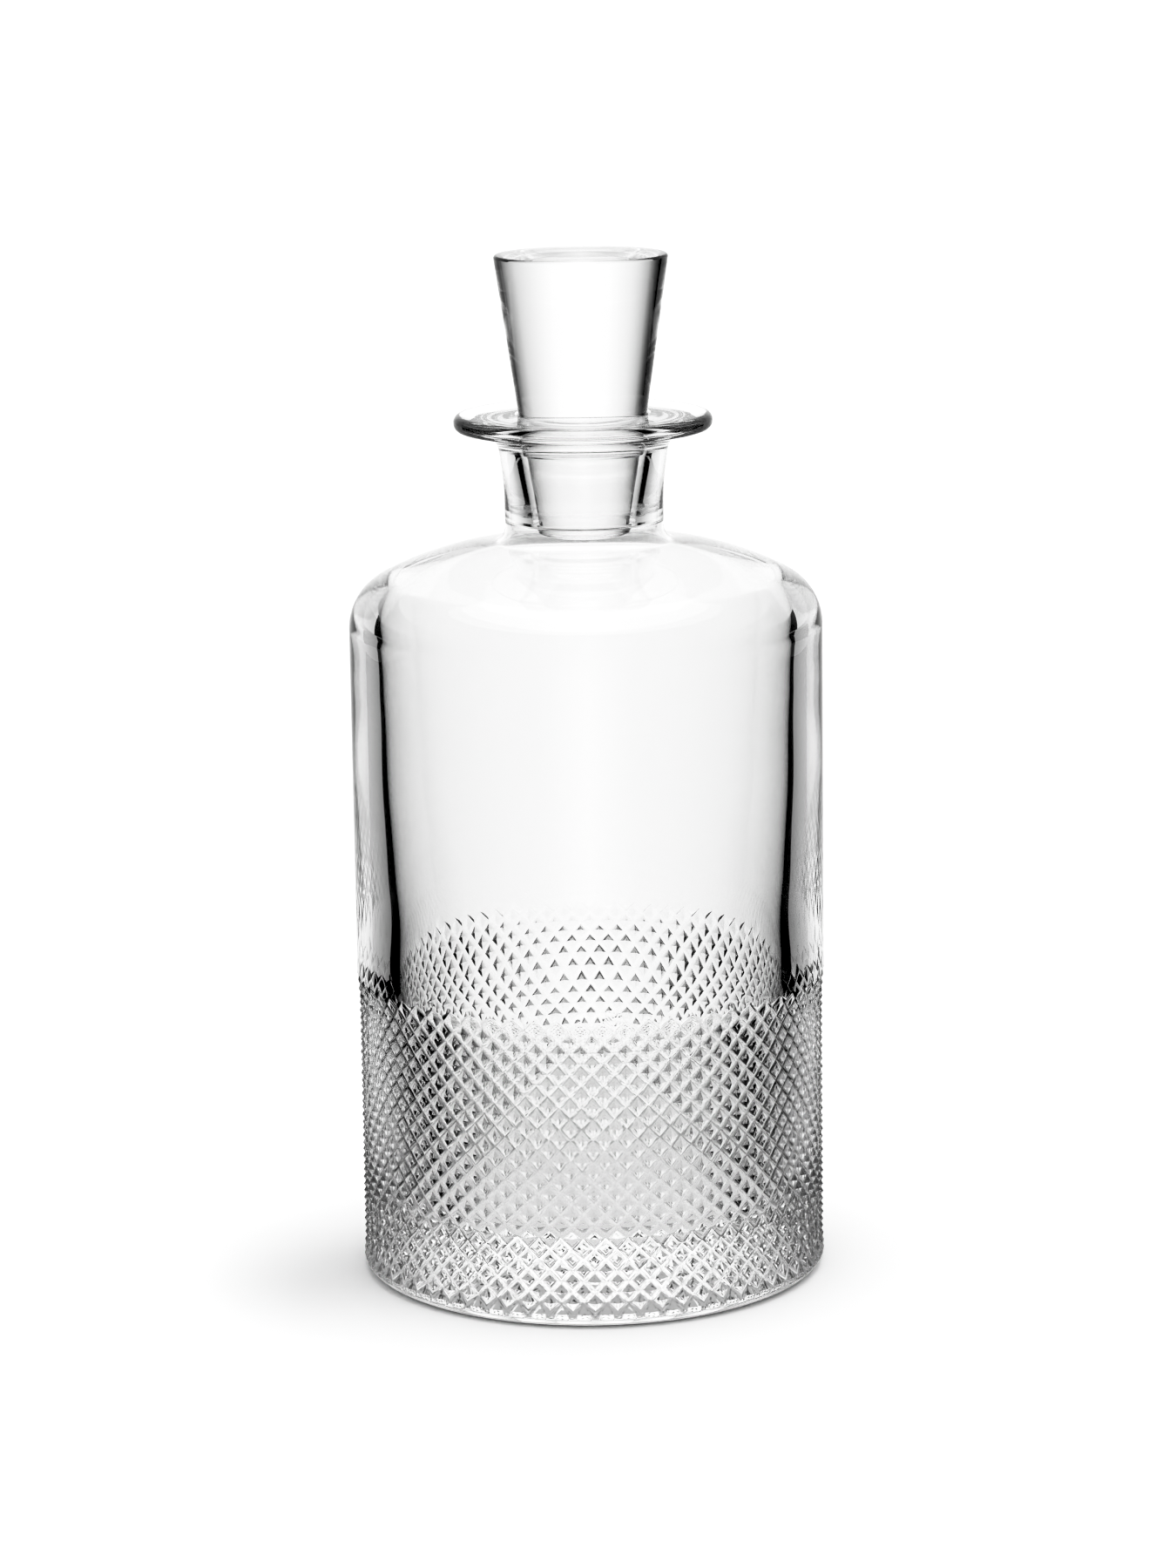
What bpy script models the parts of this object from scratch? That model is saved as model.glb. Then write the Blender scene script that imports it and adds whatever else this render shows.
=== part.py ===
"""Cut crystal decanter: a one-piece bottle with a diamond-cut band, and its loose solid stopper.

Metres, +Z up. The origin is the centre of the base, on the surface that the decanter stands on.
"""
import math

import bmesh
import bpy

MM = 0.001

# Body and shoulder.
BODY_RADIUS = 55 * MM
HEEL_RADIUS = 4 * MM
SHOULDER_HEIGHT = 153.5 * MM     # where the straight side ends
SHOULDER_RADIUS = 13 * MM
SHOULDER_TURN = 62.5             # degrees that the shoulder turns before the flatter crown takes over
CROWN_RADIUS = 76 * MM

# Neck and disc rim.
NECK_RADIUS = 18.4 * MM
NECK_FILLET = 3.5 * MM
NECK_FLARE_START = 182 * MM
NECK_TOP_RADIUS = 19.5 * MM
NECK_TOP_HEIGHT = 193.5 * MM
RIM_TOP = 202.8 * MM
RIM_RADIUS = 29.9 * MM
RIM_THICKNESS = 3.8 * MM
RIM_EDGE_RADIUS = 1.7 * MM

# Cavity.
FLOOR_HEIGHT = 18.5 * MM
FLOOR_CORNER = 4.5 * MM
CAVITY_RADIUS = 45 * MM
CAVITY_WALL = (                  # heights and radii on the way up, where the wall grows thinner
    (80 * MM, 45.3 * MM),
    (130 * MM, 47.3 * MM),
)
CAVITY_TOP_RADIUS = 48 * MM
CAVITY_CORNER = 9 * MM
THROAT_RADIUS = 17.3 * MM
LEDGE_DROP = 0.7 * MM
BORE_BOTTOM = 178.3 * MM
BORE_BOTTOM_RADIUS = 12.3 * MM
BORE_TOP = 195 * MM
BORE_TOP_RADIUS = 14.5 * MM
MOUTH_RADIUS = 15.2 * MM
MOUTH_CHAMFER = 0.7 * MM

# Diamond-cut band: two families of crossing grooves.
DIAMONDS_ROUND = 66
HALF_ROW = 2.56 * MM             # from one row of diamonds to the next
BAND_ROWS = 27
BAND_TOP = 72.6 * MM
GROOVE_DEPTH = 1.4 * MM
TIP_DROP = 0.3 * MM              # the diamonds' points lie this far under the uncut surface
TOP_RUN_OUT = 0.35               # share of the groove depth left where the grooves end
HEEL_RUN_OUT = 0.5

# Stopper: an inverted cone with a slimmer plug.
TOTAL_HEIGHT = 239.3 * MM
STOPPER_TOP_RADIUS = 20.05 * MM
STOPPER_EDGE_RADIUS = 0.7 * MM
STOPPER_RIM_RADIUS = 14.85 * MM  # where the cone passes the mouth
PLUG_TOP = 194.7 * MM
PLUG_TOP_RADIUS = 13.0 * MM
PLUG_END = 174.6 * MM
PLUG_END_RADIUS = 10.5 * MM
PLUG_CORNER = 1.0 * MM

CAVITY_SEGMENTS = 48
STOPPER_SEGMENTS = 48
MERGE_DISTANCE = 0.00001


def arc(centre, radius, start, end, steps):
    """Points on an arc in the (radius, height) plane; degrees, 0 is outward and 90 is up."""
    points = []
    for step in range(steps + 1):
        angle = math.radians(start + (end - start) * step / steps)
        points.append((centre[0] + radius * math.cos(angle), centre[1] + radius * math.sin(angle)))
    return points


def crown_centre():
    """Centre of the crown's arc, which leaves the shoulder's arc without a kink."""
    turn = math.radians(SHOULDER_TURN)
    reach = CROWN_RADIUS - SHOULDER_RADIUS
    shoulder_r = BODY_RADIUS - SHOULDER_RADIUS
    return (shoulder_r - reach * math.cos(turn), SHOULDER_HEIGHT - reach * math.sin(turn))


def tangent_above_crown(radius, fillet, centre_r):
    """Height of the centre of a fillet that touches a crown arc of this radius from above."""
    crown_r, crown_z = crown_centre()
    return crown_z + math.sqrt((radius + fillet) ** 2 - (centre_r - crown_r) ** 2)


def touch_angle(point):
    """Direction of a point seen from the crown's centre, in degrees."""
    crown_r, crown_z = crown_centre()
    return math.degrees(math.atan2(point[1] - crown_z, point[0] - crown_r))


def band_height(row):
    return BAND_TOP - row * HALF_ROW


def body_radius_at(height):
    """Radius of the uncut body; the heel rounds it in near the base."""
    if height >= HEEL_RADIUS:
        return BODY_RADIUS
    rise = HEEL_RADIUS - height
    return BODY_RADIUS - HEEL_RADIUS + math.sqrt(HEEL_RADIUS ** 2 - rise ** 2)


def rim_profile():
    """From the axis across the rim's top, round its edge and under it to the neck."""
    edge_r = RIM_RADIUS - RIM_EDGE_RADIUS
    upper = arc((edge_r, RIM_TOP - RIM_EDGE_RADIUS), RIM_EDGE_RADIUS, 90, 0, 2)
    underside = RIM_TOP - RIM_THICKNESS
    lower = arc((edge_r, underside + RIM_EDGE_RADIUS), RIM_EDGE_RADIUS, 0, -90, 2)
    flare = underside - NECK_TOP_HEIGHT
    neck_join = arc((NECK_TOP_RADIUS + flare, NECK_TOP_HEIGHT), flare, 90, 180, 3)
    return [(0, RIM_TOP)] + upper + lower + neck_join


def neck_profile():
    """Down the neck and through the fillet onto the crown."""
    fillet_r = NECK_RADIUS + NECK_FILLET
    fillet_z = tangent_above_crown(CROWN_RADIUS, NECK_FILLET, fillet_r)
    angle = touch_angle((fillet_r, fillet_z))
    waist = [(NECK_RADIUS, NECK_FLARE_START)]
    return waist + arc((fillet_r, fillet_z), NECK_FILLET, 180, 180 + angle, 2)


def shoulder_profile():
    """Down the crown and round the shoulder to the straight side."""
    fillet_r = NECK_RADIUS + NECK_FILLET
    fillet_z = tangent_above_crown(CROWN_RADIUS, NECK_FILLET, fillet_r)
    crown = arc(crown_centre(), CROWN_RADIUS, touch_angle((fillet_r, fillet_z)), SHOULDER_TURN, 3)
    corner_centre = (BODY_RADIUS - SHOULDER_RADIUS, SHOULDER_HEIGHT)
    corner = arc(corner_centre, SHOULDER_RADIUS, SHOULDER_TURN, 0, 4)
    return crown[1:] + corner[1:]


def side_profile():
    """Down the side, with a ring at each row of the band, and round the heel to the axis."""
    rows = [(body_radius_at(band_height(row)), band_height(row)) for row in range(BAND_ROWS + 1)]
    above = [(BODY_RADIUS, BAND_TOP + HALF_ROW)]
    heel = arc((BODY_RADIUS - HEEL_RADIUS, HEEL_RADIUS), HEEL_RADIUS, -45, -90, 1)
    return above + rows + heel + [(0, 0)]


def cavity_profile():
    """The cutter's outer side: chamfered mouth, bore, ledge, throat, shoulder, wall and floor."""
    above = RIM_TOP + MOUTH_CHAMFER
    mouth = [
        (0, above),
        (MOUTH_RADIUS + 2 * MOUTH_CHAMFER, above),
        (MOUTH_RADIUS, RIM_TOP - MOUTH_CHAMFER),
        (BORE_TOP_RADIUS, BORE_TOP),
        (BORE_BOTTOM_RADIUS, BORE_BOTTOM),
    ]
    fillet_r = NECK_RADIUS + NECK_FILLET
    fillet = fillet_r - THROAT_RADIUS
    fillet_z = tangent_above_crown(CROWN_RADIUS, NECK_FILLET, fillet_r)
    corner_r = CAVITY_TOP_RADIUS - CAVITY_CORNER
    across, up = corner_r - fillet_r, fillet_z - SHOULDER_HEIGHT
    lean = math.asin((CAVITY_CORNER + fillet) / math.hypot(across, up))
    turn = 90 - math.degrees(math.atan2(up, across) - lean)
    ledge = [(THROAT_RADIUS, BORE_BOTTOM - LEDGE_DROP)]
    throat = arc((fillet_r, fillet_z), fillet, 180, 180 + turn, 2)
    corner = arc((corner_r, SHOULDER_HEIGHT), CAVITY_CORNER, turn, 0, 2)
    wall = [(radius, height) for height, radius in reversed(CAVITY_WALL)]
    floor_centre = (CAVITY_RADIUS - FLOOR_CORNER, FLOOR_HEIGHT + FLOOR_CORNER)
    floor = arc(floor_centre, FLOOR_CORNER, 0, -90, 2)
    return mouth + ledge + throat + corner + wall + floor + [(0, FLOOR_HEIGHT)]


def stopper_profile():
    """Down the stopper's outer side, with heights measured from the rim's top."""
    top = TOTAL_HEIGHT - RIM_TOP
    edge_centre = (STOPPER_TOP_RADIUS - STOPPER_EDGE_RADIUS, top - STOPPER_EDGE_RADIUS)
    edge = arc(edge_centre, STOPPER_EDGE_RADIUS, 90, 0, 2)
    taper = (STOPPER_TOP_RADIUS - STOPPER_RIM_RADIUS) / (top - STOPPER_EDGE_RADIUS)
    cone_end = PLUG_TOP - RIM_TOP
    cone = [(STOPPER_RIM_RADIUS + taper * cone_end, cone_end)]
    step = [(PLUG_TOP_RADIUS, cone_end - MM / 2)]
    plug_end = PLUG_END - RIM_TOP
    corner_centre = (PLUG_END_RADIUS - PLUG_CORNER, plug_end + PLUG_CORNER)
    corner = arc(corner_centre, PLUG_CORNER, 0, -90, 2)
    return [(0, top)] + edge + cone + step + corner + [(0, plug_end)]


def turned(name, profile, segments, collection):
    """An object turned about Z from a profile that runs down its outer side."""
    mesh = bpy.data.meshes.new(name)
    points = [(radius, 0, height) for radius, height in profile]
    edges = [(index, index + 1) for index in range(len(points) - 1)]
    mesh.from_pydata(points, edges, [])
    turned_object = bpy.data.objects.new(name, mesh)
    collection.objects.link(turned_object)
    screw = turned_object.modifiers.new("Turn", "SCREW")
    screw.axis = "Z"
    screw.steps = segments
    screw.render_steps = segments
    screw.use_merge_vertices = True
    screw.merge_threshold = MERGE_DISTANCE
    screw.use_smooth_shade = True
    return turned_object


def apply_modifiers(model):
    """Replace an object's mesh by its evaluated mesh, so that it can be cut point by point."""
    evaluated = model.evaluated_get(bpy.context.evaluated_depsgraph_get())
    mesh = bpy.data.meshes.new_from_object(evaluated)
    model.modifiers.clear()
    model.data = mesh


def band_row(vert):
    """The band row that a point lies on, or None."""
    row = round((BAND_TOP - vert.co.z) / HALF_ROW)
    on_row = abs(vert.co.z - band_height(row)) < MERGE_DISTANCE
    on_surface = vert.co.xy.length > BODY_RADIUS / 2
    if 0 <= row <= BAND_ROWS and on_row and on_surface:
        return row
    return None


def is_crossing(vert, row):
    """Whether two grooves cross here; the points in between are the diamonds' tips."""
    turn = math.atan2(vert.co.y, vert.co.x) / math.tau
    column = round(turn * 2 * DIAMONDS_ROUND)
    return (row + column) % 2 == 0


def sink(vert, row, crossing):
    """Move a point of the band to the depth that the grooves leave it at."""
    if row in (0, BAND_ROWS):
        run_out = TOP_RUN_OUT if row == 0 else HEEL_RUN_OUT
        drop = GROOVE_DEPTH * run_out if crossing else 0
    else:
        drop = GROOVE_DEPTH if crossing else TIP_DROP
    radius = body_radius_at(vert.co.z) - drop
    vert.co.xy = vert.co.xy.normalized() * radius


def cut_diamonds(bottle):
    """Cut the band: the grooves' crossings sink in, and each face folds along its groove."""
    cut = bmesh.new()
    cut.from_mesh(bottle.data)
    rings = []
    for edge in cut.edges:
        first, second = (band_row(vert) for vert in edge.verts)
        if first is not None and first == second:
            rings.append(edge)
    bmesh.ops.subdivide_edges(cut, edges=rings, cuts=1)
    crossings = set()
    for vert in cut.verts:
        row = band_row(vert)
        if row is None:
            continue
        crossing = is_crossing(vert, row)
        sink(vert, row, crossing)
        if crossing:
            crossings.add(vert)
    for face in list(cut.faces):
        grooved = [vert for vert in face.verts if vert in crossings]
        if len(face.verts) == 4 and len(grooved) == 2:
            bmesh.utils.face_split(face, grooved[0], grooved[1])
    uneven = [face for face in cut.faces if len(face.verts) == 5]
    bmesh.ops.triangulate(cut, faces=uneven)
    for face in cut.faces:
        face.smooth = not any(vert in crossings for vert in face.verts)
    cut.to_mesh(bottle.data)
    cut.free()


def crystal(name):
    """Clear polished lead-free crystal."""
    material = bpy.data.materials.new(name)
    material.use_nodes = True
    shader = material.node_tree.nodes["Principled BSDF"]
    shader.inputs["Base Color"].default_value = (0.97, 0.98, 0.98, 1)
    shader.inputs["Metallic"].default_value = 0
    shader.inputs["Roughness"].default_value = 0.02
    shader.inputs["IOR"].default_value = 1.54
    shader.inputs["Transmission Weight"].default_value = 1
    return material


def make_bottle(parts, cutters):
    profile = rim_profile() + neck_profile() + shoulder_profile() + side_profile()
    bottle = turned("bottle", profile, DIAMONDS_ROUND, parts)
    apply_modifiers(bottle)
    cut_diamonds(bottle)
    cavity = turned("cavity_cutter", cavity_profile(), CAVITY_SEGMENTS, cutters)
    cavity.hide_render = True
    cavity.display_type = "WIRE"
    hollow = bottle.modifiers.new("Hollow", "BOOLEAN")
    hollow.operation = "DIFFERENCE"
    hollow.solver = "EXACT"
    hollow.object = cavity
    bottle.data.materials.append(crystal("bottle_crystal"))


def make_stopper(parts):
    stopper = turned("stopper", stopper_profile(), STOPPER_SEGMENTS, parts)
    stopper.location.z = RIM_TOP
    stopper.data.materials.append(crystal("stopper_crystal"))


def main():
    for old in list(bpy.data.objects):
        bpy.data.objects.remove(old, do_unlink=True)
    parts = bpy.data.collections.new("cut_crystal_decanter")
    cutters = bpy.data.collections.new("cutters")
    bpy.context.scene.collection.children.link(parts)
    bpy.context.scene.collection.children.link(cutters)
    make_bottle(parts, cutters)
    make_stopper(parts)


main()
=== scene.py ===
"""Looks of the cut crystal decanter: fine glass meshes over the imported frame, a studio and a camera.

Metres, +Z up, in the frame's own place: the base's centre is the origin.
"""
import math
import random

import bpy
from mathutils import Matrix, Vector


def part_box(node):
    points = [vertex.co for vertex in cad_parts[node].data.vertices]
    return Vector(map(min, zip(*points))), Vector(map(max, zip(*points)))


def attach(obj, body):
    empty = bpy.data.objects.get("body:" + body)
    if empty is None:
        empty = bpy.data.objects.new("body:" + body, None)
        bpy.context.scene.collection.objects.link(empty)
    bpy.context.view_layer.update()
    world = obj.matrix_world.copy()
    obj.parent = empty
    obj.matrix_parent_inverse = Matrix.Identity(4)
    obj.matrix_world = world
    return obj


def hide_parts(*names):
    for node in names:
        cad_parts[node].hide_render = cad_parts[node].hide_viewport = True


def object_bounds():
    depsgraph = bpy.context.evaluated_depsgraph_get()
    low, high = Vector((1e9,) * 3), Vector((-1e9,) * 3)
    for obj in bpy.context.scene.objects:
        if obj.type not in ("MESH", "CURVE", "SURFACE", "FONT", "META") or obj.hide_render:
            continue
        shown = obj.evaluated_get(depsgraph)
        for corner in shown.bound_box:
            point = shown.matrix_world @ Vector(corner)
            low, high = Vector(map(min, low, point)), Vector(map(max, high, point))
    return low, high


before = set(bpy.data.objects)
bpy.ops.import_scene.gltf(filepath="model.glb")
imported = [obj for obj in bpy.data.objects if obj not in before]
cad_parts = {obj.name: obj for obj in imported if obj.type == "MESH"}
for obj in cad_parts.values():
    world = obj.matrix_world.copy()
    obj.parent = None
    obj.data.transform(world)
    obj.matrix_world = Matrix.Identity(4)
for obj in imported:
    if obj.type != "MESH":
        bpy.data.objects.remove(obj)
cad_low, cad_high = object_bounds()

MM = 0.001

# The bottle's outer shape. Its width and its rim's top are the frame's.
BODY_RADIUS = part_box("bottle")[1].x
HEEL_RADIUS = 4 * MM
HEEL_START = -24                 # angle on the heel's arc at which it leaves the band
BASE_RINGS = (40 * MM, 20 * MM)
SHOULDER_HEIGHT = 153.5 * MM
SHOULDER_RADIUS = 13 * MM
SHOULDER_TURN = 62.5
CROWN_RADIUS = 76 * MM
NECK_RADIUS = 18.4 * MM
NECK_FILLET = 3.5 * MM
NECK_FLARE_START = 182 * MM
NECK_TOP_RADIUS = 19.5 * MM
NECK_TOP_HEIGHT = 193.5 * MM
FLARE_END = 172                  # angle on the arc under the rim at which the neck takes over
RIM_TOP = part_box("bottle")[1].z
RIM_RADIUS = 29.9 * MM
RIM_THICKNESS = 3.8 * MM
RIM_EDGE_RADIUS = 1.7 * MM

# Its cavity, throat and bore.
FLOOR_HEIGHT = 18.5 * MM
FLOOR_CORNER = 4.5 * MM
CAVITY_RADIUS = 45 * MM
CAVITY_WALL = (                  # heights and radii where the wall's thickness changes
    (80 * MM, 45.3 * MM),
    (98 * MM, 46.2 * MM),
    (114 * MM, 46.9 * MM),
    (130 * MM, 47.3 * MM),
    (142 * MM, 47.7 * MM),
)
WALL_STEP = 2 * MM
CAVITY_TOP_RADIUS = 48 * MM
CAVITY_CORNER = 9 * MM
THROAT_RADIUS = 17.3 * MM
LEDGE_ROUNDING = 0.7 * MM
BORE_BOTTOM = 178.3 * MM
BORE_BOTTOM_RADIUS = 12.3 * MM
BORE_TOP = 195 * MM
BORE_TOP_RADIUS = 14.5 * MM
MOUTH_RADIUS = 15.2 * MM
MOUTH_ROUNDING = 0.7 * MM

# The diamond-cut band: two crossing sets of grooves leave a pyramid between each four crossings.
DIAMONDS_ROUND = 66
HALF_ROW = 2.56 * MM
BAND_ROWS = 27
BAND_TOP = 72.6 * MM
TIP_DROP = 0.3 * MM
GROOVE_SLOPE = 0.78
GROOVE_ROUNDING = 0.42           # share of a groove's half width that is rounded out
ZIGZAG_DROP = 1.3 * MM
ROW_DEPTH = {0: 0, 1: 0.5, 2: 0.85, BAND_ROWS: 0.35}     # share of the full depth; 1 on the other rows
TOP_ROUNDING = 0.12              # the rounded share on the band's first row, and on its last
BOTTOM_ROUNDING = 0.5
WIDTH_SPREAD = (0.7, 1.35)       # one groove's rounding differs from the next one's by a factor in here
DEPTH_SPREAD = 0.05 * MM
HALF_PITCHES = 2 * DIAMONDS_ROUND
HALF_PITCH = math.tau * BODY_RADIUS / HALF_PITCHES
HALF_WIDTH = HALF_PITCH * HALF_ROW / math.hypot(HALF_PITCH, HALF_ROW)    # of a groove, up to the tips

# The stopper. Its height, its top's radius and its plug's end are the frame's.
STOPPER_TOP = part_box("stopper")[1].z
STOPPER_TOP_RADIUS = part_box("stopper")[1].x
STOPPER_EDGE_RADIUS = 0.7 * MM
STOPPER_RIM_RADIUS = 14.85 * MM
PLUG_TOP = 194.7 * MM
PLUG_TOP_RADIUS = 13.0 * MM
PLUG_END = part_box("stopper")[0].z
PLUG_END_RADIUS = 10.5 * MM
PLUG_CORNER = 1.0 * MM
PLUG_SHOULDER = 0.5 * MM         # how far the step from the cone in to the plug falls

# Meshes and glass.
SQUARE = ((-1, -1), (1, -1), (1, 1), (-1, 1))
OUTER_SEGMENTS = 3 * HALF_PITCHES
INNER_SEGMENTS = 2 * HALF_PITCHES
BOTTLE_EYE = 2 * MM              # radius of the ring next to a point on the axis
STOPPER_EYE = 1 * MM
SHARP_ANGLE = 24
GLASS_IOR = 1.54
CONTRAST = ((0.25, 0.13), (0.5, 0.46), (0.75, 0.82))     # dark tones go down, light ones up
WAVE_HEIGHT = 0.01 * MM
WAVE_SCALE = 90
WAVE_STRETCH = 0.25
ROUGHEST = 0.012
BOUNCES = 32

# The studio. It shows only in and through the glass. Lengths are in metres; an angle is in degrees off
# the line from the camera through the object, + to the right, and a table pairs it with a light's strength.
FLAG_OFFSET = 73 * MM            # a small card over the floor at the left, for the soft shadow there
FLAG_FORWARD = 14 * MM
FLAG_HALF_WIDTH = 11 * MM
FLAG_HALF_DEPTH = 25 * MM
FLAG_HEIGHT = 38 * MM
TENT_RADIUS = 1.0
TENT_HEIGHT = 1.4
LOW_LIGHT_TOP = 0.15
SIDE_LIGHT_TOP = 0.42
TABLE_RADIUS = 56 * MM           # the lit part of the table, just under the base
# the floor ring out to here glows dimmer than the floor beyond: painted shade round the base
NEAR_FLOOR_RADIUS = 0.13
LIGHT_SINK = 0.05 * MM           # the lit floor and table lie this far under the base
LIGHT_STEP = 5
FADE_START = 0.3                 # the tent's light fades a little with height, from here
FADE_END = 1.2
FADE_TO = 0.8
CARD_DISTANCE = 0.95
CARD_EDGE = 47
CARD_FIRST_STEP = 50
CARD_END = 120
SHEET_HEIGHT = 0.2 * MM          # black sheets on the floor at both sides, each with one straight edge
SHEET_EDGE = 46
SHEET_BESIDE = 48 * MM
SHEET_REACH = (0.14, 0.9)
SHEET_CORNERS = ((0.95, 80), (0.95, CARD_END), (0.15, CARD_END), (0.15, 80))     # distance and angle
WORLD_LIGHT = 1.45
BLACK_LEVEL = 0.06
FLOOR_HALF_WIDTH = 6
FLOOR_SINK = 0.1 * MM
FLOOR_WHITE = 0.9
WALL_LIGHT = (
    (0, 1.12),
    (14, 1.08),
    (27, 0.9),
    (38, 0.77),
    (56, 0.6),
    (120, 0.04),
    (180, 0.12),
)
SIDE_LIGHT = (                   # at the stopper's height, where both sides fade into the dark
    (-180, 0.12),
    (-140, 0.02),
    (-58, 0.02),
    (-50, 0.2),
    (-40, 0.62),
    (-27, 0.9),
    (-14, 1.08),
    (0, 1.12),
    (14, 1.08),
    (27, 0.9),
    (38, 0.77),
    (55, 0.46),
    (64, 0.03),
    (140, 0.02),
    (180, 0.12),
)
FLOOR_LIGHT = (
    (0, 1.1),
    (14, 1.0),
    (27, 0.8),
    (38, 0.6),
    (56, 0.35),
    (100, 0.04),
    (155, 0.04),
    (180, 0.3),
)
# dimmer than FLOOR_LIGHT: painted shade of the decanter on the floor round its base
NEAR_FLOOR_SHADED_LIGHT = (
    (0, 0.57),
    (60, 0.5),
    (120, 0.4),
    (180, 0.38),
)
TABLE_LIGHT = 0.7
ROOF_LIGHT = 1.2

# The camera, with its distance and height as shares of the object's height.
CAMERA_SENSOR = 36
CAMERA_LENS = 106.6
CAMERA_DISTANCE = 4.441
CAMERA_HEIGHT = 1.427
CAMERA_DOWN = 12.01
CAMERA_ROLL = -0.81


def arc(centre, radius, start, end, steps):
    """Points on an arc in the (radius, height) plane; degrees, 0 is outward and 90 is up."""
    points = []
    for step in range(steps + 1):
        angle = math.radians(start + (end - start) * step / steps)
        points.append((centre[0] + radius * math.cos(angle), centre[1] + radius * math.sin(angle)))
    return points


def straight(start, end, steps):
    """Points on a straight stretch, both ends included."""
    points = []
    for step in range(steps + 1):
        share = step / steps
        points.append(tuple(a + (b - a) * share for a, b in zip(start, end)))
    return points


def crown_centre():
    """Centre of the large arc above the shoulder, which meets the shoulder's small arc smoothly."""
    turn = math.radians(SHOULDER_TURN)
    reach = CROWN_RADIUS - SHOULDER_RADIUS
    shoulder_r = BODY_RADIUS - SHOULDER_RADIUS
    return (shoulder_r - reach * math.cos(turn), SHOULDER_HEIGHT - reach * math.sin(turn))


def neck_fillet_centre():
    """Centre of the fillet at the neck's foot, which touches the neck and the crown."""
    crown_r, crown_z = crown_centre()
    fillet_r = NECK_RADIUS + NECK_FILLET
    return fillet_r, crown_z + math.sqrt((CROWN_RADIUS + NECK_FILLET) ** 2 - (fillet_r - crown_r) ** 2)


def touch_angle(point):
    """Angle of a point as seen from the crown's centre."""
    crown_r, crown_z = crown_centre()
    return math.degrees(math.atan2(point[1] - crown_z, point[0] - crown_r))


def body_radius_at(height):
    if height >= HEEL_RADIUS:
        return BODY_RADIUS
    rise = HEEL_RADIUS - height
    return BODY_RADIUS - HEEL_RADIUS + math.sqrt(HEEL_RADIUS ** 2 - rise ** 2)


def outside_above_band():
    """From the mouth over the rim, neck, shoulder and side, down to the band."""
    edge_r = RIM_RADIUS - RIM_EDGE_RADIUS
    underside = RIM_TOP - RIM_THICKNESS
    mouth_centre = (MOUTH_RADIUS + MOUTH_ROUNDING, RIM_TOP - MOUTH_ROUNDING)
    points = arc(mouth_centre, MOUTH_ROUNDING, 180, 90, 6)
    points += arc((edge_r, RIM_TOP - RIM_EDGE_RADIUS), RIM_EDGE_RADIUS, 90, 0, 10)
    points += arc((edge_r, underside + RIM_EDGE_RADIUS), RIM_EDGE_RADIUS, 0, -90, 10)
    flare = underside - NECK_TOP_HEIGHT
    points += arc((NECK_TOP_RADIUS + flare, NECK_TOP_HEIGHT), flare, 90, FLARE_END, 12)
    rise = NECK_TOP_HEIGHT - NECK_FLARE_START
    spread = NECK_TOP_RADIUS - NECK_RADIUS
    for step in range(1, 9):
        share = 1 - step / 8
        points.append((NECK_RADIUS + spread * share ** 2, NECK_FLARE_START + rise * share))
    fillet_centre = neck_fillet_centre()
    angle = touch_angle(fillet_centre)
    points += arc(fillet_centre, NECK_FILLET, 180, 180 + angle, 12)
    points += arc(crown_centre(), CROWN_RADIUS, angle, SHOULDER_TURN, 14)[1:]
    corner_centre = (BODY_RADIUS - SHOULDER_RADIUS, SHOULDER_HEIGHT)
    points += arc(corner_centre, SHOULDER_RADIUS, SHOULDER_TURN, 0, 18)[1:]
    points += straight((BODY_RADIUS, SHOULDER_HEIGHT), (BODY_RADIUS, BAND_TOP + HALF_ROW), 8)[1:]
    return points


def wall_inside(foot, top):
    """Up the cavity's wall, from one height to another: a smooth line with an upright start and end."""
    knots = [(foot, CAVITY_RADIUS), *CAVITY_WALL, (top, CAVITY_TOP_RADIUS)]
    slopes = [0]
    for before, after in zip(knots, knots[2:]):
        slopes.append((after[1] - before[1]) / (after[0] - before[0]))
    slopes.append(0)
    points = []
    for index, (start, end) in enumerate(zip(knots, knots[1:])):
        rise = end[0] - start[0]
        steps = max(2, round(rise / WALL_STEP))
        for step in range(1, steps + 1):
            t = step / steps
            radius = start[1] * (1 + 2 * t) * (1 - t) ** 2 + end[1] * t * t * (3 - 2 * t)
            radius += rise * (slopes[index] * t * (1 - t) ** 2 - slopes[index + 1] * t * t * (1 - t))
            points.append((radius, start[0] + rise * t))
    return points


def inside():
    """From the floor's centre up the cavity, throat and bore to the mouth."""
    floor_centre = (CAVITY_RADIUS - FLOOR_CORNER, FLOOR_HEIGHT + FLOOR_CORNER)
    points = straight((BOTTLE_EYE, FLOOR_HEIGHT), (CAVITY_RADIUS - FLOOR_CORNER, FLOOR_HEIGHT), 8)
    points += arc(floor_centre, FLOOR_CORNER, -90, 0, 10)[1:]
    points += wall_inside(points[-1][1], SHOULDER_HEIGHT)
    corner_r = CAVITY_TOP_RADIUS - CAVITY_CORNER
    fillet_r, fillet_z = neck_fillet_centre()
    fillet = fillet_r - THROAT_RADIUS
    across, up = corner_r - fillet_r, fillet_z - SHOULDER_HEIGHT
    lean = math.asin((CAVITY_CORNER + fillet) / math.hypot(across, up))
    turn = 90 - math.degrees(math.atan2(up, across) - lean)
    points += arc((corner_r, SHOULDER_HEIGHT), CAVITY_CORNER, 0, turn, 14)[1:]
    throat = arc((fillet_r, fillet_z), fillet, 180 + turn, 180, 10)
    points += straight(points[-1], throat[0], 10)[1:-1]
    points += throat
    ledge_centre = (THROAT_RADIUS - LEDGE_ROUNDING, BORE_BOTTOM - LEDGE_ROUNDING)
    points += arc(ledge_centre, LEDGE_ROUNDING, 0, 90, 5)
    points += straight((BORE_BOTTOM_RADIUS, BORE_BOTTOM), (BORE_TOP_RADIUS, BORE_TOP), 6)
    return points


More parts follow.
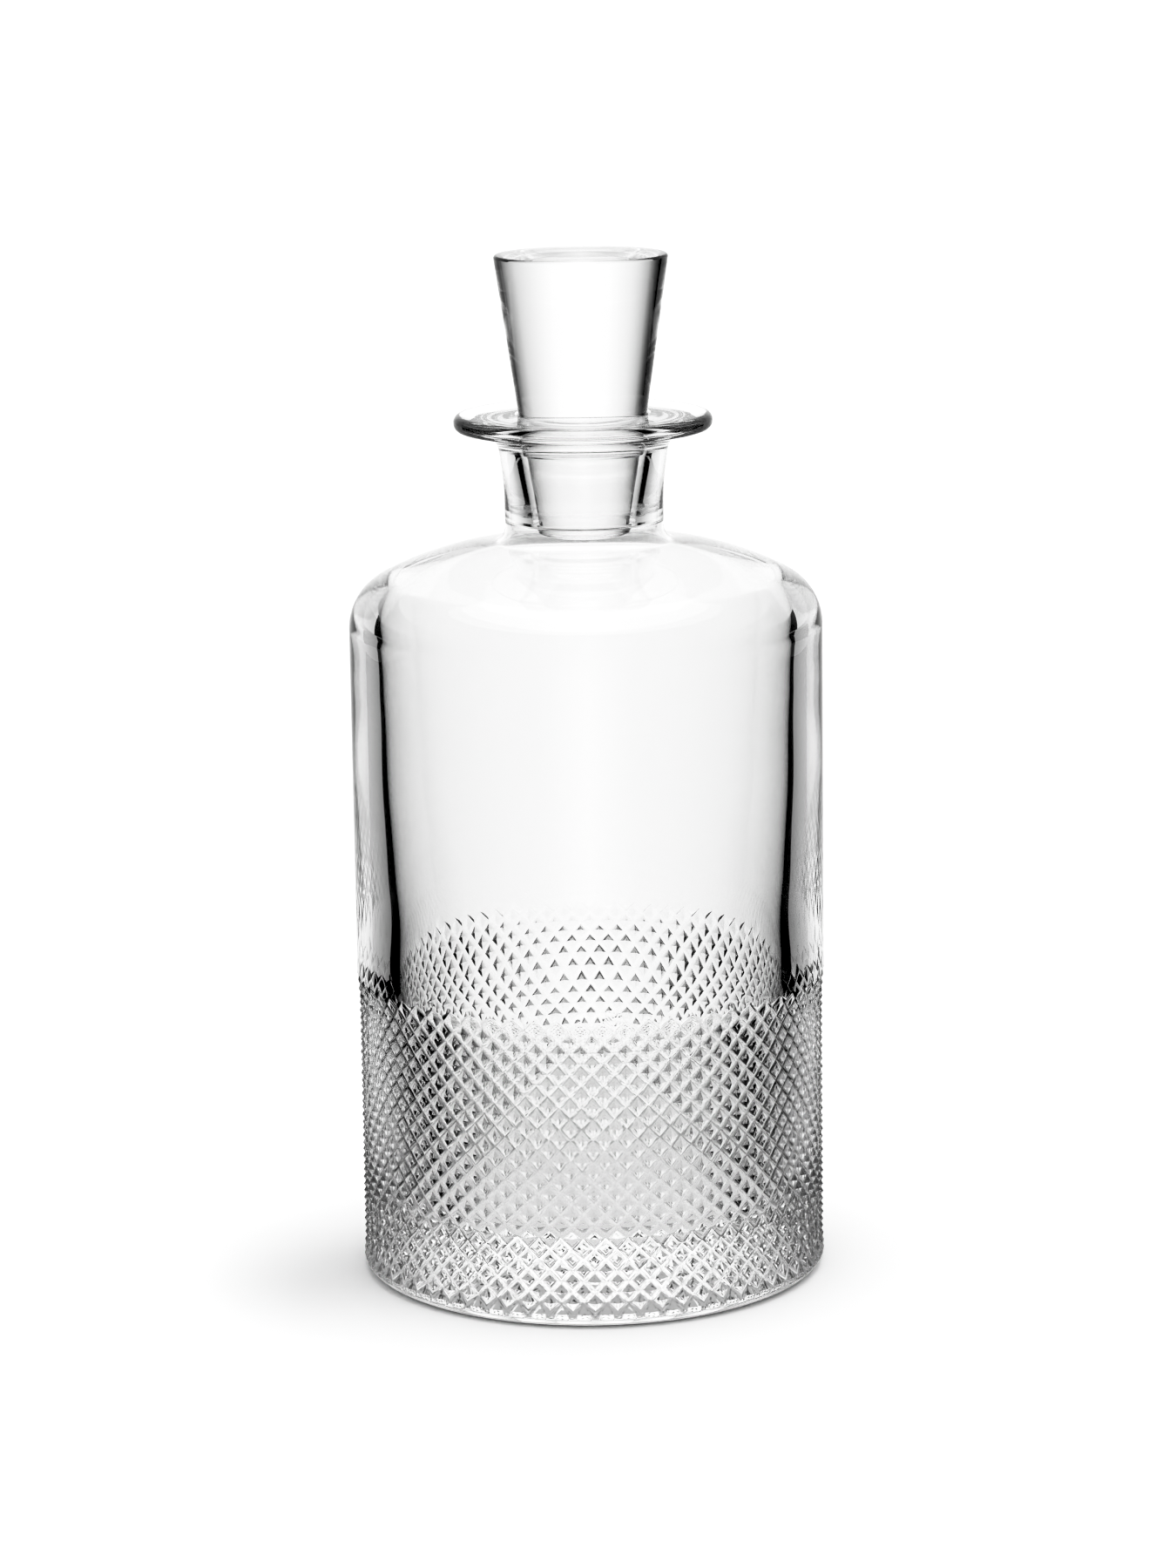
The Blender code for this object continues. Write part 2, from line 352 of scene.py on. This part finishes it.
def stopper_outline():
    """Down the stopper's outer side, from near the axis to near the axis."""
    edge_centre = (STOPPER_TOP_RADIUS - STOPPER_EDGE_RADIUS, STOPPER_TOP - STOPPER_EDGE_RADIUS)
    points = straight((STOPPER_EYE, STOPPER_TOP), (edge_centre[0], STOPPER_TOP), 4)
    points += arc(edge_centre, STOPPER_EDGE_RADIUS, 90, 0, 6)[1:]
    taper = (STOPPER_TOP_RADIUS - STOPPER_RIM_RADIUS) / (edge_centre[1] - RIM_TOP)
    cone_end = (STOPPER_RIM_RADIUS + taper * (PLUG_TOP - RIM_TOP), PLUG_TOP)
    points += straight((STOPPER_TOP_RADIUS, edge_centre[1]), cone_end, 10)[1:]
    plug_top = (PLUG_TOP_RADIUS, PLUG_TOP - PLUG_SHOULDER)
    corner_centre = (PLUG_END_RADIUS - PLUG_CORNER, PLUG_END + PLUG_CORNER)
    points += straight(plug_top, (PLUG_END_RADIUS, corner_centre[1]), 6)
    points += arc(corner_centre, PLUG_CORNER, 0, -90, 6)[1:]
    points += straight((corner_centre[0], PLUG_END), (STOPPER_EYE, PLUG_END), 4)[1:]
    return points


class Skin:
    """Rings of points round the Z axis, joined one after another into one closed mesh."""

    def __init__(self):
        self.points = []
        self.faces = []
        self.last = None

    def circle(self, count, radius, height):
        """Add a ring of points and join it to the one before."""
        first = len(self.points)
        for index in range(count):
            turn = math.tau * index / count
            self.points.append((radius * math.cos(turn), radius * math.sin(turn), height))
        fresh = list(range(first, first + count))
        if self.last:
            self.join(self.last, fresh)
        self.last = fresh

    def join(self, old, fresh):
        """Faces between two rings whose counts are equal or in a whole ratio."""
        fewer = min(len(old), len(fresh))
        ratio = max(len(old), len(fresh)) // fewer
        for index in range(fewer):
            following = (index + 1) % fewer
            if len(old) > len(fresh):
                fan = [old[(index * ratio + k) % len(old)] for k in range(ratio + 1)]
                self.fan(fan, fresh[index], fresh[following])
            elif len(old) < len(fresh):
                fan = [fresh[(index * ratio + k) % len(fresh)] for k in range(ratio, -1, -1)]
                self.fan(fan, old[following], old[index])
            else:
                self.faces.append((old[index], fresh[index], fresh[following], old[following]))

    def fan(self, many, near_start, near_end):
        """Triangles from several points of the finer ring to two of the coarser one."""
        half = len(many) // 2
        for k in range(len(many) - 1):
            corner = near_start if k < half else near_end
            self.faces.append((many[k + 1], many[k], corner))
        self.faces.append((many[half], near_start, near_end))

    def pole(self, height, closing):
        """Join the last ring to a point on the axis, to close the mesh at its end or at its start."""
        tip = len(self.points)
        self.points.append((0, 0, height))
        ring = self.last
        for index in range(len(ring)):
            following = (index + 1) % len(ring)
            if closing:
                self.faces.append((ring[index], tip, ring[following]))
            else:
                self.faces.append((ring[following], tip, ring[index]))

    def finish(self, name):
        mesh = bpy.data.meshes.new(name)
        mesh.from_pydata(self.points, [], self.faces)
        mesh.validate()
        mesh.shade_smooth()
        mesh.set_sharp_from_angle(angle=math.radians(SHARP_ANGLE))
        piece = bpy.data.objects.new(name, mesh)
        bpy.context.scene.collection.objects.link(piece)
        return piece


class Band:
    """The cut band's points and faces, row by row from the top."""

    def __init__(self, skin):
        self.skin = skin
        dice = random.Random(5)
        self.width = self.per_groove(lambda: dice.uniform(*WIDTH_SPREAD))
        self.depth = self.per_groove(lambda: dice.uniform(-DEPTH_SPREAD, DEPTH_SPREAD))

    def per_groove(self, draw):
        """One value for each groove of the two crossing families."""
        return [[draw() for _ in range(HALF_PITCHES)] for _ in range(2)]

    def through(self, table, column, row):
        """The mean value of the two grooves that cross at, or pass beside, a lattice point."""
        return (table[0][(column - row) % HALF_PITCHES] + table[1][(column + row) % HALF_PITCHES]) / 2

    def rounding(self, column, row):
        if row == 0:
            return TOP_ROUNDING
        if row == BAND_ROWS:
            return BOTTOM_ROUNDING
        return GROOVE_ROUNDING * self.through(self.width, column, row)

    def corner(self, column, row):
        """Turn in half pitches, height and share of the full depth at a lattice point."""
        height = BAND_TOP - HALF_ROW * row
        if row == 0 and column % 2:
            return column, height - ZIGZAG_DROP, 0
        return column, height, ROW_DEPTH.get(row, 1)

    def add(self, crossing, tip, off):
        """A point between a crossing and a tip next to it; off is 0 at the crossing and 1 at the tip."""
        turn, height, share = (a + (b - a) * off for a, b in zip(self.corner(*crossing), self.corner(*tip)))
        round_part = self.rounding(*crossing)
        flank = GROOVE_SLOPE * HALF_WIDTH
        if off < round_part:
            sunk = flank * (1 - round_part / 2 - off ** 2 / (2 * round_part))
        else:
            sunk = flank * (1 - off)
        sunk = (sunk + TIP_DROP + self.through(self.depth, *crossing) * (1 - off)) * share
        angle = math.tau * turn / HALF_PITCHES
        radius = body_radius_at(height) - sunk
        self.skin.points.append((radius * math.cos(angle), radius * math.sin(angle), height))
        return len(self.skin.points) - 1

    def edge(self, start, end):
        """Two points between two neighbouring lattice points, nearer to the crossing."""
        if (start[0] + start[1]) % 2 == 0:
            part = self.rounding(*start)
            return [self.add(start, end, part / 2), self.add(start, end, part)]
        part = self.rounding(*end)
        return [self.add(end, start, part), self.add(end, start, part / 2)]

    def row(self, row):
        ring = []
        for column in range(HALF_PITCHES):
            here, beside = (column, row), (column + 1, row)
            if (column + row) % 2 == 0:
                corner = self.add(here, beside, 0)
            else:
                corner = self.add(beside, here, 1)
            ring += [corner, *self.edge(here, beside)]
        return ring

    def blocks(self, top, bottom, row):
        """Faces between two rows: a rounded groove crosses each block, a pyramid's side on either hand."""
        sides = [self.edge((column, row), (column, row + 1)) for column in range(HALF_PITCHES)]
        count = len(top)
        faces = self.skin.faces
        for column in range(HALF_PITCHES):
            first = 3 * column
            tl, t1, t2, tr = (top[(first + k) % count] for k in range(4))
            bl, b1, b2, br = (bottom[(first + k) % count] for k in range(4))
            l1, l2 = sides[column]
            r1, r2 = sides[(column + 1) % HALF_PITCHES]
            if (column + row) % 2 == 0:
                faces += [(tl, br, r2, t1), (t1, r2, r1, t2), (t2, r1, tr)]
                faces += [(tl, l1, b2, br), (l1, l2, b1, b2), (l2, bl, b1)]
            else:
                faces += [(tr, t2, l2, bl), (t2, t1, l1, l2), (t1, tl, l1)]
                faces += [(tr, bl, b1, r1), (r1, b1, b2, r2), (r2, b2, br)]


def cut_band(skin):
    band = Band(skin)
    top = band.row(0)
    skin.join(skin.last, top)
    for row in range(BAND_ROWS):
        bottom = band.row(row + 1)
        band.blocks(top, bottom, row)
        top = bottom
    skin.last = top


def make_bottle():
    skin = Skin()
    cavity = inside()
    skin.circle(HALF_PITCHES, *cavity[0])
    skin.pole(FLOOR_HEIGHT, closing=False)
    for radius, height in cavity[1:]:
        skin.circle(INNER_SEGMENTS, radius, height)
    skin.circle(HALF_PITCHES, *cavity[-1])
    for radius, height in outside_above_band():
        skin.circle(OUTER_SEGMENTS, radius, height)
    cut_band(skin)
    for radius, height in arc((BODY_RADIUS - HEEL_RADIUS, HEEL_RADIUS), HEEL_RADIUS, HEEL_START, -90, 9):
        skin.circle(OUTER_SEGMENTS, radius, height)
    for radius in (*BASE_RINGS, BOTTLE_EYE):
        skin.circle(OUTER_SEGMENTS, radius, 0)
    skin.pole(0, closing=True)
    bottle = skin.finish("crystal_bottle")
    bottle.data.materials.append(crystal("bottle_glass"))
    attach(bottle, "bottle")
    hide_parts("bottle")


def make_stopper():
    skin = Skin()
    outline = stopper_outline()
    skin.circle(HALF_PITCHES, *outline[0])
    skin.pole(outline[0][1], closing=False)
    for radius, height in outline[1:]:
        skin.circle(HALF_PITCHES, radius, height)
    skin.pole(outline[-1][1], closing=True)
    stopper = skin.finish("crystal_stopper")
    stopper.data.materials.append(crystal("stopper_glass"))
    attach(stopper, "stopper")
    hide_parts("stopper")


def crystal(name):
    """Clear crystal: polished, with faint upright waves and a polish that varies a little."""
    material = bpy.data.materials.new(name)
    material.use_nodes = True
    nodes, links = material.node_tree.nodes, material.node_tree.links
    shader = nodes["Principled BSDF"]
    shader.inputs["Base Color"].default_value = (1, 1, 1, 1)
    shader.inputs["IOR"].default_value = GLASS_IOR
    shader.inputs["Transmission Weight"].default_value = 1
    place = nodes.new("ShaderNodeTexCoord")
    stretch = nodes.new("ShaderNodeMapping")
    stretch.inputs["Scale"].default_value = (1, 1, WAVE_STRETCH)
    waves = nodes.new("ShaderNodeTexNoise")
    waves.inputs["Scale"].default_value = WAVE_SCALE
    waves.inputs["Detail"].default_value = 1
    bump = nodes.new("ShaderNodeBump")
    bump.inputs["Distance"].default_value = WAVE_HEIGHT
    polish = nodes.new("ShaderNodeMapRange")
    polish.inputs["To Min"].default_value = 0
    polish.inputs["To Max"].default_value = ROUGHEST
    links.new(place.outputs["Object"], stretch.inputs["Vector"])
    links.new(stretch.outputs["Vector"], waves.inputs["Vector"])
    links.new(waves.outputs["Fac"], bump.inputs["Height"])
    links.new(waves.outputs["Fac"], polish.inputs["Value"])
    links.new(bump.outputs["Normal"], shader.inputs["Normal"])
    links.new(polish.outputs["Result"], shader.inputs["Roughness"])
    return material


def add_mesh(name, points, faces, material):
    mesh = bpy.data.meshes.new(name)
    mesh.from_pydata(points, [], faces)
    mesh.materials.append(material)
    thing = bpy.data.objects.new(name, mesh)
    bpy.context.scene.collection.objects.link(thing)
    return thing


def make_floor():
    material = bpy.data.materials.new("floor_white")
    material.use_nodes = True
    shader = material.node_tree.nodes["Principled BSDF"]
    shader.inputs["Base Color"].default_value = (FLOOR_WHITE, FLOOR_WHITE, FLOOR_WHITE, 1)
    shader.inputs["Roughness"].default_value = 0.9
    shader.inputs["Specular IOR Level"].default_value = 0
    corners = [(x * FLOOR_HALF_WIDTH, y * FLOOR_HALF_WIDTH, 0) for x, y in SQUARE]
    floor = add_mesh("floor", corners, [(0, 1, 2, 3)], material)
    floor.location.z = -FLOOR_SINK


def make_world():
    """An even white light all round, and a picture with more contrast than the light has."""
    scene = bpy.context.scene
    world = bpy.data.worlds.new("studio")
    scene.world = world
    world.use_nodes = True
    background = world.node_tree.nodes["Background"]
    background.inputs["Color"].default_value = (1, 1, 1, 1)
    background.inputs["Strength"].default_value = WORLD_LIGHT
    scene.view_settings.view_transform = "Standard"
    scene.view_settings.use_curve_mapping = True
    curves = scene.view_settings.curve_mapping
    curves.black_level = (BLACK_LEVEL, BLACK_LEVEL, BLACK_LEVEL)
    for shade, graded in CONTRAST:
        curves.curves[3].points.new(shade, graded)
    curves.update()


def stage_object(name, points, faces, material, rig):
    """A studio object that only shows through and in the glass, never to the camera itself."""
    thing = add_mesh(name, points, faces, material)
    thing.parent = rig
    thing.visible_camera = False
    thing.visible_diffuse = False
    thing.visible_shadow = False
    return thing


def around(radius, angle):
    """A place on the level; the angle runs from straight behind the object, clockwise from above."""
    turn = math.radians(angle)
    return radius * math.sin(turn), radius * math.cos(turn)


def curved_wall(radius, angles, low, high):
    """A strip of a cylinder between two heights."""
    points = []
    for angle in angles:
        points += [(*around(radius, angle), low), (*around(radius, angle), high)]
    faces = [(2 * k, 2 * k + 2, 2 * k + 3, 2 * k + 1) for k in range(len(angles) - 1)]
    return points, faces


def level_circle(radius, height):
    """Points round the Z axis, LIGHT_STEP degrees apart."""
    return [(*around(radius, angle), height) for angle in range(-180, 180, LIGHT_STEP)]


def floor_ring(inner, outer):
    """A flat ring just below the floor's level."""
    points = level_circle(inner, -LIGHT_SINK) + level_circle(outer, -LIGHT_SINK)
    count = len(points) // 2
    faces = []
    for k in range(count):
        following = (k + 1) % count
        faces.append((k, following, following + count, k + count))
    return points, faces


def both_sides(strength_by_angle):
    """The same table with its left half added; the first entry is straight ahead."""
    left = [(-angle, strength) for angle, strength in strength_by_angle[:0:-1]]
    return [*left, *strength_by_angle]


def even(strength):
    """A table with the same strength all round."""
    return ((-180, strength), (180, strength))


def light_material(name, strength_by_angle):
    """Light whose strength depends on the angle round the object and fades a little with height."""
    material = bpy.data.materials.new(name)
    material.use_nodes = True
    nodes, links = material.node_tree.nodes, material.node_tree.links
    nodes.clear()
    place = nodes.new("ShaderNodeTexCoord")
    split = nodes.new("ShaderNodeSeparateXYZ")
    angle = nodes.new("ShaderNodeMath")
    angle.operation = "ARCTAN2"
    share = nodes.new("ShaderNodeMath")
    share.operation = "MULTIPLY_ADD"
    share.inputs[1].default_value = 1 / math.tau
    share.inputs[2].default_value = 0.5
    ramp = nodes.new("ShaderNodeValToRGB")
    stops = ramp.color_ramp.elements
    while len(stops) < len(strength_by_angle):
        stops.new(0.5)
    for stop, (degrees, strength) in zip(stops, strength_by_angle):
        stop.position = degrees / 360 + 0.5
        stop.color = (strength, strength, strength, 1)
    fade = nodes.new("ShaderNodeMapRange")
    fade.inputs["From Min"].default_value = FADE_START
    fade.inputs["From Max"].default_value = FADE_END
    fade.inputs["To Min"].default_value = 1
    fade.inputs["To Max"].default_value = FADE_TO
    glow = nodes.new("ShaderNodeEmission")
    output = nodes.new("ShaderNodeOutputMaterial")
    links.new(place.outputs["Object"], split.inputs[0])
    links.new(split.outputs["X"], angle.inputs[0])
    links.new(split.outputs["Y"], angle.inputs[1])
    links.new(angle.outputs[0], share.inputs[0])
    links.new(share.outputs[0], ramp.inputs[0])
    links.new(ramp.outputs[0], glow.inputs["Color"])
    links.new(split.outputs["Z"], fade.inputs["Value"])
    links.new(fade.outputs[0], glow.inputs["Strength"])
    links.new(glow.outputs[0], output.inputs["Surface"])
    return material


def black_material():
    material = bpy.data.materials.new("card_black")
    material.use_nodes = True
    shader = material.node_tree.nodes["Principled BSDF"]
    shader.inputs["Base Color"].default_value = (0, 0, 0, 1)
    shader.inputs["Specular IOR Level"].default_value = 0
    return material


def make_rig(camera):
    """The studio's parent, which faces the camera: the same studio stands round every view."""
    rig = bpy.data.objects.new("tent_rig", None)
    bpy.context.scene.collection.objects.link(rig)
    face = rig.constraints.new("LOCKED_TRACK")
    face.target = camera
    face.track_axis = "TRACK_NEGATIVE_Y"
    face.lock_axis = "LOCK_Z"
    return rig


def make_light_tent(rig):
    """Bright behind, dim beside and in front: walls, a roof, the floor and the table under the base."""
    wall_light = light_material("wall_light", both_sides(WALL_LIGHT))
    side_light = light_material("side_light", SIDE_LIGHT)
    parts = (
        (0, LOW_LIGHT_TOP, wall_light),
        (LOW_LIGHT_TOP, SIDE_LIGHT_TOP, side_light),
        (SIDE_LIGHT_TOP, TENT_HEIGHT, wall_light),
    )
    for low, high, material in parts:
        wall = curved_wall(TENT_RADIUS, range(-180, 181, LIGHT_STEP), low, high)
        stage_object("light_wall", *wall, material, rig)
    roof = level_circle(TENT_RADIUS, TENT_HEIGHT)
    whole = [tuple(range(len(roof)))]
    stage_object("light_roof", roof, whole, light_material("roof_light", even(ROOF_LIGHT)), rig)
    # the floor ring next to the base glows dimmer, as painted shade of the decanter on the floor
    near_light = light_material("near_floor_painted_shade_light", both_sides(NEAR_FLOOR_SHADED_LIGHT))
    stage_object("light_near_floor", *floor_ring(TABLE_RADIUS, NEAR_FLOOR_RADIUS), near_light, rig)
    floor_light = light_material("floor_light", both_sides(FLOOR_LIGHT))
    stage_object("light_floor", *floor_ring(NEAR_FLOOR_RADIUS, TENT_RADIUS), floor_light, rig)
    table = level_circle(TABLE_RADIUS, -LIGHT_SINK)
    stage_object("light_table", table, whole, light_material("table_light", even(TABLE_LIGHT)), rig)


def make_black_cards(rig):
    """Upright cards and sheets on the floor at both sides, which give the glass its dark edges."""
    black = black_material()
    edge = math.radians(SHEET_EDGE)
    for side in (-1, 1):
        angles = [side * angle for angle in (CARD_EDGE, *range(CARD_FIRST_STEP, CARD_END + 1, LIGHT_STEP))]
        stage_object("black_card", *curved_wall(CARD_DISTANCE, angles, 0, LOW_LIGHT_TOP), black, rig)
        sheet = []
        for reach in SHEET_REACH:
            x = SHEET_BESIDE * math.cos(edge) + reach * math.sin(edge)
            y = reach * math.cos(edge) - SHEET_BESIDE * math.sin(edge)
            sheet.append((side * x, y, SHEET_HEIGHT))
        for distance, angle in SHEET_CORNERS:
            x, y = around(distance, angle)
            sheet.append((side * x, y, SHEET_HEIGHT))
        stage_object("black_sheet", sheet, [tuple(range(len(sheet)))], black, rig)
    make_shadow_flag(black, rig)


def make_shadow_flag(black, rig):
    """A card that only takes light off the floor: neither the camera nor the glass sees it."""
    corners = []
    for x, y in SQUARE:
        corners.append((x * FLAG_HALF_WIDTH - FLAG_OFFSET, y * FLAG_HALF_DEPTH - FLAG_FORWARD, FLAG_HEIGHT))
    flag = stage_object("shadow_flag", corners, [(0, 1, 2, 3)], black, rig)
    flag.visible_glossy = False
    flag.visible_transmission = False
    flag.visible_diffuse = True
    flag.visible_shadow = True


def make_camera():
    height = cad_high.z - cad_low.z
    camera_data = bpy.data.cameras.new("camera")
    camera_data.sensor_width = CAMERA_SENSOR
    camera_data.lens = CAMERA_LENS
    camera = bpy.data.objects.new("camera", camera_data)
    camera.location = (0, -CAMERA_DISTANCE * height, CAMERA_HEIGHT * height)
    camera.rotation_euler = (math.radians(90 - CAMERA_DOWN), 0, 0)
    camera.rotation_euler.rotate_axis("Z", math.radians(CAMERA_ROLL))
    bpy.context.scene.collection.objects.link(camera)
    bpy.context.scene.camera = camera
    return camera


def let_light_through():
    """Enough bounces for light to cross the cut band and the stopper in the neck."""
    cycles = bpy.context.scene.cycles
    cycles.max_bounces = BOUNCES
    cycles.transmission_bounces = BOUNCES
    cycles.glossy_bounces = BOUNCES // 2


make_bottle()
make_stopper()
make_floor()
make_world()
studio_rig = make_rig(make_camera())
make_light_tent(studio_rig)
make_black_cards(studio_rig)
let_light_through()
